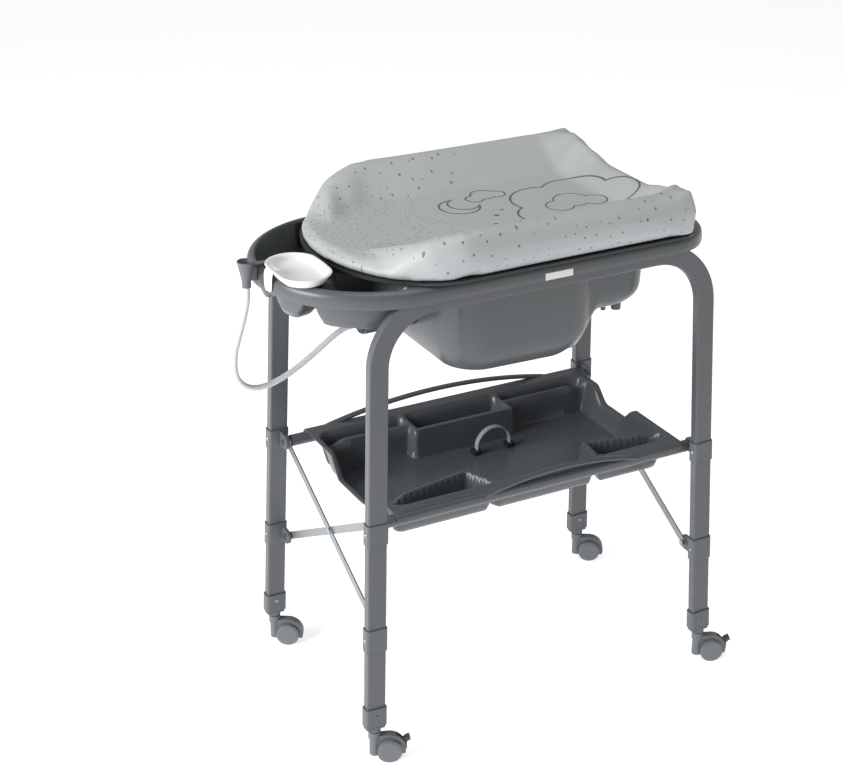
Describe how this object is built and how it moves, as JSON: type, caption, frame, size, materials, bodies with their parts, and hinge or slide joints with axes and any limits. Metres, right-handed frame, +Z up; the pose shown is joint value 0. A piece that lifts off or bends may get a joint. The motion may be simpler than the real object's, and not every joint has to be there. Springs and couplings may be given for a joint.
{
  "type": "baby bath and changing table",
  "caption": "Baby bath and changing table: padded flip-up mat over a bath tub on two arched tube frames with a storage tray, drain hose and castors.",
  "frame": {"origin": "on the floor, under the middle of the object's bounding box without the hose", "axes": "+X towards the square end of the bath, -Y towards the user, +Z up"},
  "size_m": [0.9466, 0.5003, 1.001],
  "materials": {
    "tube_paint": "satin grey powder paint",
    "joint_plastic": "satin moulded grey",
    "brace_steel": "zinc-plated flat bar",
    "fastener": "bright plated",
    "castor_plastic": "fine-textured grey",
    "wheel_plastic": "smooth grey disc",
    "brake_plastic": "dark textured",
    "bath_plastic": "satin grey moulding",
    "black_plastic": "matt black",
    "white_plastic": "glossy white",
    "hose_plastic": "translucent milky",
    "label": "blank white plate",
    "holder_plastic": "satin grey",
    "board": "dark underside",
    "mat_vinyl": "soft light-grey vinyl with a small pattern",
    "hinge_plastic": "moulded grey",
    "tray_plastic": "glossy dark grey moulding",
    "strap": "pale lilac-grey webbing"
  },
  "bodies": {
    "stand": {"front_arch": "tube_paint", "rear_arch": "tube_paint", "front_rail": "tube_paint", "rear_rail": "tube_paint", "collar_upper_fl": "joint_plastic", "collar_upper_fr": "joint_plastic", "collar_upper_rl": "joint_plastic", "collar_upper_rr": "joint_plastic", "collar_lower_fl": "joint_plastic", "collar_lower_fr": "joint_plastic", "collar_lower_rl": "joint_plastic", "collar_lower_rr": "joint_plastic", "socket_fl": "joint_plastic", "socket_fr": "joint_plastic", "socket_rl": "joint_plastic", "socket_rr": "joint_plastic", "brace_left_a": "brace_steel", "brace_left_b": "brace_steel", "brace_right_a": "brace_steel", "brace_right_b": "brace_steel", "brace_rivets": "fastener", "collar_screws": "fastener", "socket_screws": "fastener"},
    "bath_body": {"bath": "bath_plastic", "bath_saddles": "black_plastic", "drain_spout": "black_plastic", "drain_hose": "hose_plastic", "rim_label": "label", "hose_holder": "holder_plastic", "hinge_bases": "hinge_plastic", "hinge_pins": "fastener"},
    "mat": {"mat_board": "board", "mat_cushion": "mat_vinyl", "hinge_leaves": "hinge_plastic"},
    "soap_dish": {"dish": "white_plastic"},
    "plug": {"drain_plug": "white_plastic"},
    "storage_tray": {"tray": "tray_plastic", "tray_strap": "strap", "strap_anchors": "black_plastic"},
    "castor_body_fl": {"castor_fl": "castor_plastic"},
    "wheel_body_fl": {"wheels_fl": "wheel_plastic"},
    "brake_body_fl": {"brake_fl": "brake_plastic"},
    "castor_body_fr": {"castor_fr": "castor_plastic"},
    "wheel_body_fr": {"wheels_fr": "wheel_plastic"},
    "brake_body_fr": {"brake_fr": "brake_plastic"},
    "castor_body_rl": {"castor_rl": "castor_plastic"},
    "wheel_body_rl": {"wheels_rl": "wheel_plastic"},
    "castor_body_rr": {"castor_rr": "castor_plastic"},
    "wheel_body_rr": {"wheels_rr": "wheel_plastic"}
  },
  "joints": [
    {"name": "bath_lift", "type": "slide", "parent": "stand", "child": "bath_body", "axis": [0, 0, 1], "range_m": [0, 0.25]},
    {"name": "mat_flip", "type": "hinge", "parent": "bath_body", "child": "mat", "pos_m": [0.0367, 0.24035, 0.909], "axis": [-1, 0, 0], "range_deg": [0, 95]},
    {"name": "dish_lift", "type": "slide", "parent": "bath_body", "child": "soap_dish", "axis": [0, 0, 1], "range_m": [0, 0.08]},
    {"name": "plug_pull", "type": "slide", "parent": "bath_body", "child": "plug", "axis": [1, 0, 0], "range_m": [0, 0.03]},
    {"name": "tray_lift", "type": "slide", "parent": "stand", "child": "storage_tray", "axis": [0, 0, 1], "range_m": [0, 0.18]},
    {"name": "swivel_fl", "type": "hinge", "parent": "stand", "child": "castor_body_fl", "pos_m": [-0.32509, -0.21581, 0.062], "axis": [0, 0, 1], "continuous": true},
    {"name": "roll_fl", "type": "hinge", "parent": "castor_body_fl", "child": "wheel_body_fl", "pos_m": [-0.29972, -0.22505, 0.023], "axis": [0.342, 0.9397, 0], "continuous": true},
    {"name": "brake_fl", "type": "hinge", "parent": "castor_body_fl", "child": "brake_body_fl", "pos_m": [-0.28281, -0.2312, 0.036], "axis": [0.342, 0.9397, 0], "range_deg": [0, 12]},
    {"name": "swivel_fr", "type": "hinge", "parent": "stand", "child": "castor_body_fr", "pos_m": [0.39849, -0.21581, 0.062], "axis": [0, 0, 1], "continuous": true},
    {"name": "roll_fr", "type": "hinge", "parent": "castor_body_fr", "child": "wheel_body_fr", "pos_m": [0.42386, -0.22505, 0.023], "axis": [0.342, 0.9397, 0], "continuous": true},
    {"name": "brake_fr", "type": "hinge", "parent": "castor_body_fr", "child": "brake_body_fr", "pos_m": [0.44078, -0.2312, 0.036], "axis": [0.342, 0.9397, 0], "range_deg": [0, 12]},
    {"name": "swivel_rl", "type": "hinge", "parent": "stand", "child": "castor_body_rl", "pos_m": [-0.32509, 0.23851, 0.062], "axis": [0, 0, 1], "continuous": true},
    {"name": "roll_rl", "type": "hinge", "parent": "castor_body_rl", "child": "wheel_body_rl", "pos_m": [-0.30171, 0.22501, 0.023], "axis": [0.5, 0.866, 0], "continuous": true},
    {"name": "swivel_rr", "type": "hinge", "parent": "stand", "child": "castor_body_rr", "pos_m": [0.39849, 0.23851, 0.062], "axis": [0, 0, 1], "continuous": true},
    {"name": "roll_rr", "type": "hinge", "parent": "castor_body_rr", "child": "wheel_body_rr", "pos_m": [0.42187, 0.22501, 0.023], "axis": [0.5, 0.866, 0], "continuous": true}
  ]
}
